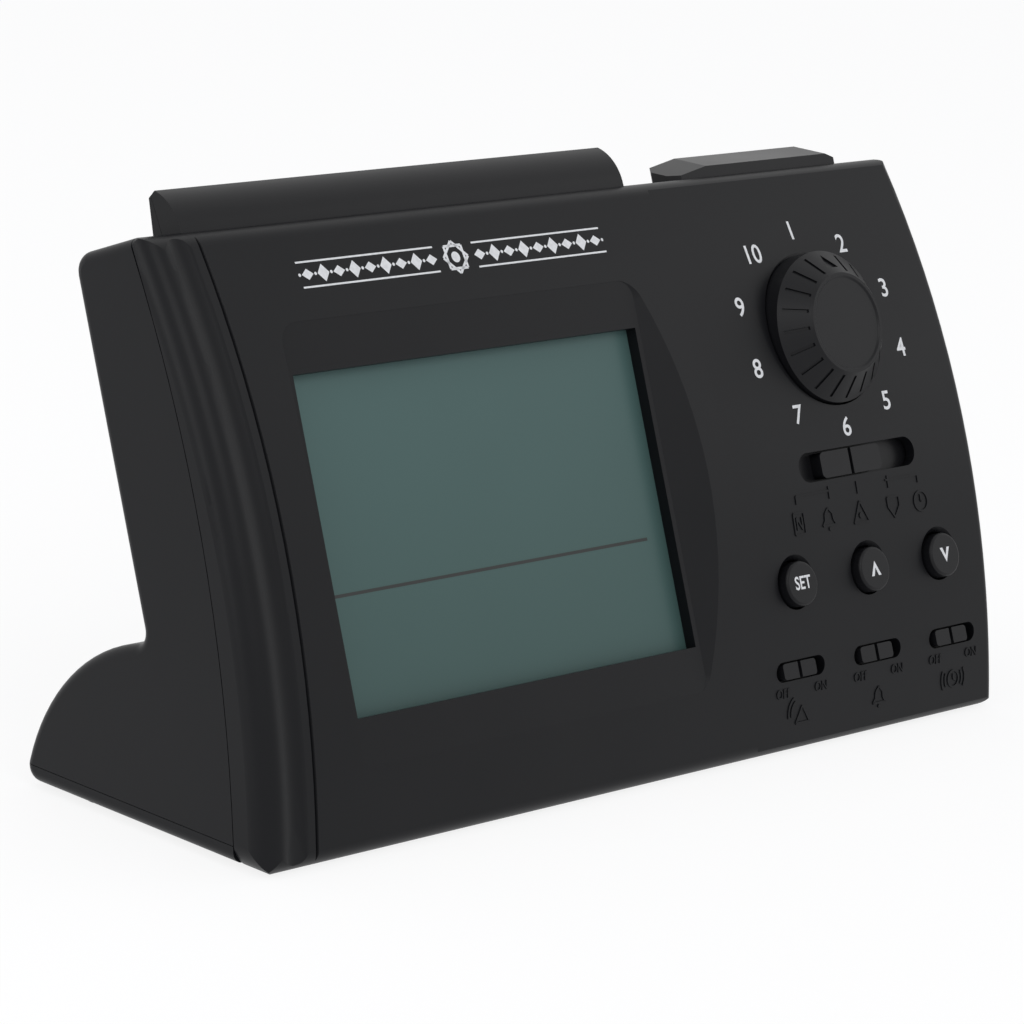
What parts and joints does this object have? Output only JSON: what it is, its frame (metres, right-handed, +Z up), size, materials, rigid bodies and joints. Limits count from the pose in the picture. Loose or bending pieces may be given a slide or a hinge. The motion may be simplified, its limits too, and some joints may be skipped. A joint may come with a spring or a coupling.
{
  "type": "clock",
  "caption": "Leaning azan desk clock with a wide blank display, a ring-dial selector knob, slide switches, push buttons, a long snooze bar and a light key",
  "frame": {"origin": "bottom centre of the bounding box, on the table", "axes": "+X to the viewer's right along the display, +Y to the back of the clock, +Z up"},
  "size_m": [0.161, 0.0526, 0.0899],
  "materials": {
    "case_black": "satin",
    "key_black": "satin",
    "display": "satin",
    "white_plastic": "satin",
    "rubber_grey": "matte",
    "rubber_black": "matte",
    "board_green": "satin",
    "steel": "satin",
    "switch_steel": "satin",
    "switch_plastic": "matte",
    "paper_black": "matte",
    "ferrite": "matte",
    "cell_wrap": "gloss"
  },
  "bodies": {
    "case": {"front_case": "case_black", "rear_case": "case_black", "base_plate": "case_black", "lcd_glass": "display", "backlight": "white_plastic", "lcd_holder": "white_plastic", "zebra_strip": "rubber_grey", "main_board": "board_green", "top_board": "board_green", "board_screws": "steel", "case_screws": "steel", "selector_switch": "switch_plastic", "mode_switch": "switch_steel", "left_toggle_switch": "switch_steel", "middle_toggle_switch": "switch_steel", "right_toggle_switch": "switch_steel", "button_switches": "switch_plastic", "top_switches": "switch_plastic", "speaker_basket": "steel", "speaker_cone": "paper_black", "speaker_magnet": "ferrite", "battery_cells": "cell_wrap", "battery_springs": "steel", "battery_contacts": "steel", "battery_tray": "case_black", "rubber_feet": "rubber_black"},
    "door": {"battery_door": "case_black"},
    "knob": {"knob": "key_black", "knob_shaft": "steel"},
    "mode_slider": {"mode_slider": "key_black"},
    "left_toggle": {"left_toggle": "key_black"},
    "middle_toggle": {"middle_toggle": "key_black"},
    "right_toggle": {"right_toggle": "key_black"},
    "set_button": {"set_button": "key_black"},
    "up_button": {"up_button": "key_black"},
    "down_button": {"down_button": "key_black"},
    "snooze_bar": {"snooze_bar": "key_black", "snooze_bar_back": "key_black"},
    "light_key": {"light_key": "key_black"}
  },
  "joints": [
    {"name": "knob_turn", "type": "hinge", "parent": "case", "child": "knob", "pos_m": [0.051, -0.00629, 0.06178], "axis": [0, -0.9336, 0.3584], "continuous": true},
    {"name": "mode_slide", "type": "slide", "parent": "case", "child": "mode_slider", "axis": [1, 0, 0], "range_m": [-0.0038, 0.0068]},
    {"name": "left_toggle_slide", "type": "slide", "parent": "case", "child": "left_toggle", "axis": [1, 0, 0], "range_m": [-0.0006, 0.002]},
    {"name": "middle_toggle_slide", "type": "slide", "parent": "case", "child": "middle_toggle", "axis": [1, 0, 0], "range_m": [-0.0006, 0.002]},
    {"name": "right_toggle_slide", "type": "slide", "parent": "case", "child": "right_toggle", "axis": [1, 0, 0], "range_m": [-0.0006, 0.002]},
    {"name": "set_button_press", "type": "slide", "parent": "case", "child": "set_button", "axis": [0, 0.9336, -0.3584], "range_m": [0, 0.0008], "stiffness_N_per_m": 400, "springref_m": -0.0005},
    {"name": "up_button_press", "type": "slide", "parent": "case", "child": "up_button", "axis": [0, 0.9336, -0.3584], "range_m": [0, 0.0008], "stiffness_N_per_m": 400, "springref_m": -0.0005},
    {"name": "down_button_press", "type": "slide", "parent": "case", "child": "down_button", "axis": [0, 0.9336, -0.3584], "range_m": [0, 0.0008], "stiffness_N_per_m": 400, "springref_m": -0.0005},
    {"name": "snooze_press", "type": "slide", "parent": "case", "child": "snooze_bar", "axis": [0, -0.3584, -0.9336], "range_m": [0, 0.0012], "stiffness_N_per_m": 500, "springref_m": -0.0008},
    {"name": "light_press", "type": "slide", "parent": "case", "child": "light_key", "axis": [0, -0.3584, -0.9336], "range_m": [0, 0.001], "stiffness_N_per_m": 500, "springref_m": -0.0008},
    {"name": "door_swing", "type": "hinge", "parent": "case", "child": "door", "pos_m": [0, -0.01335, 0.00195], "axis": [-1, 0, 0], "range_deg": [0, 75]}
  ]
}
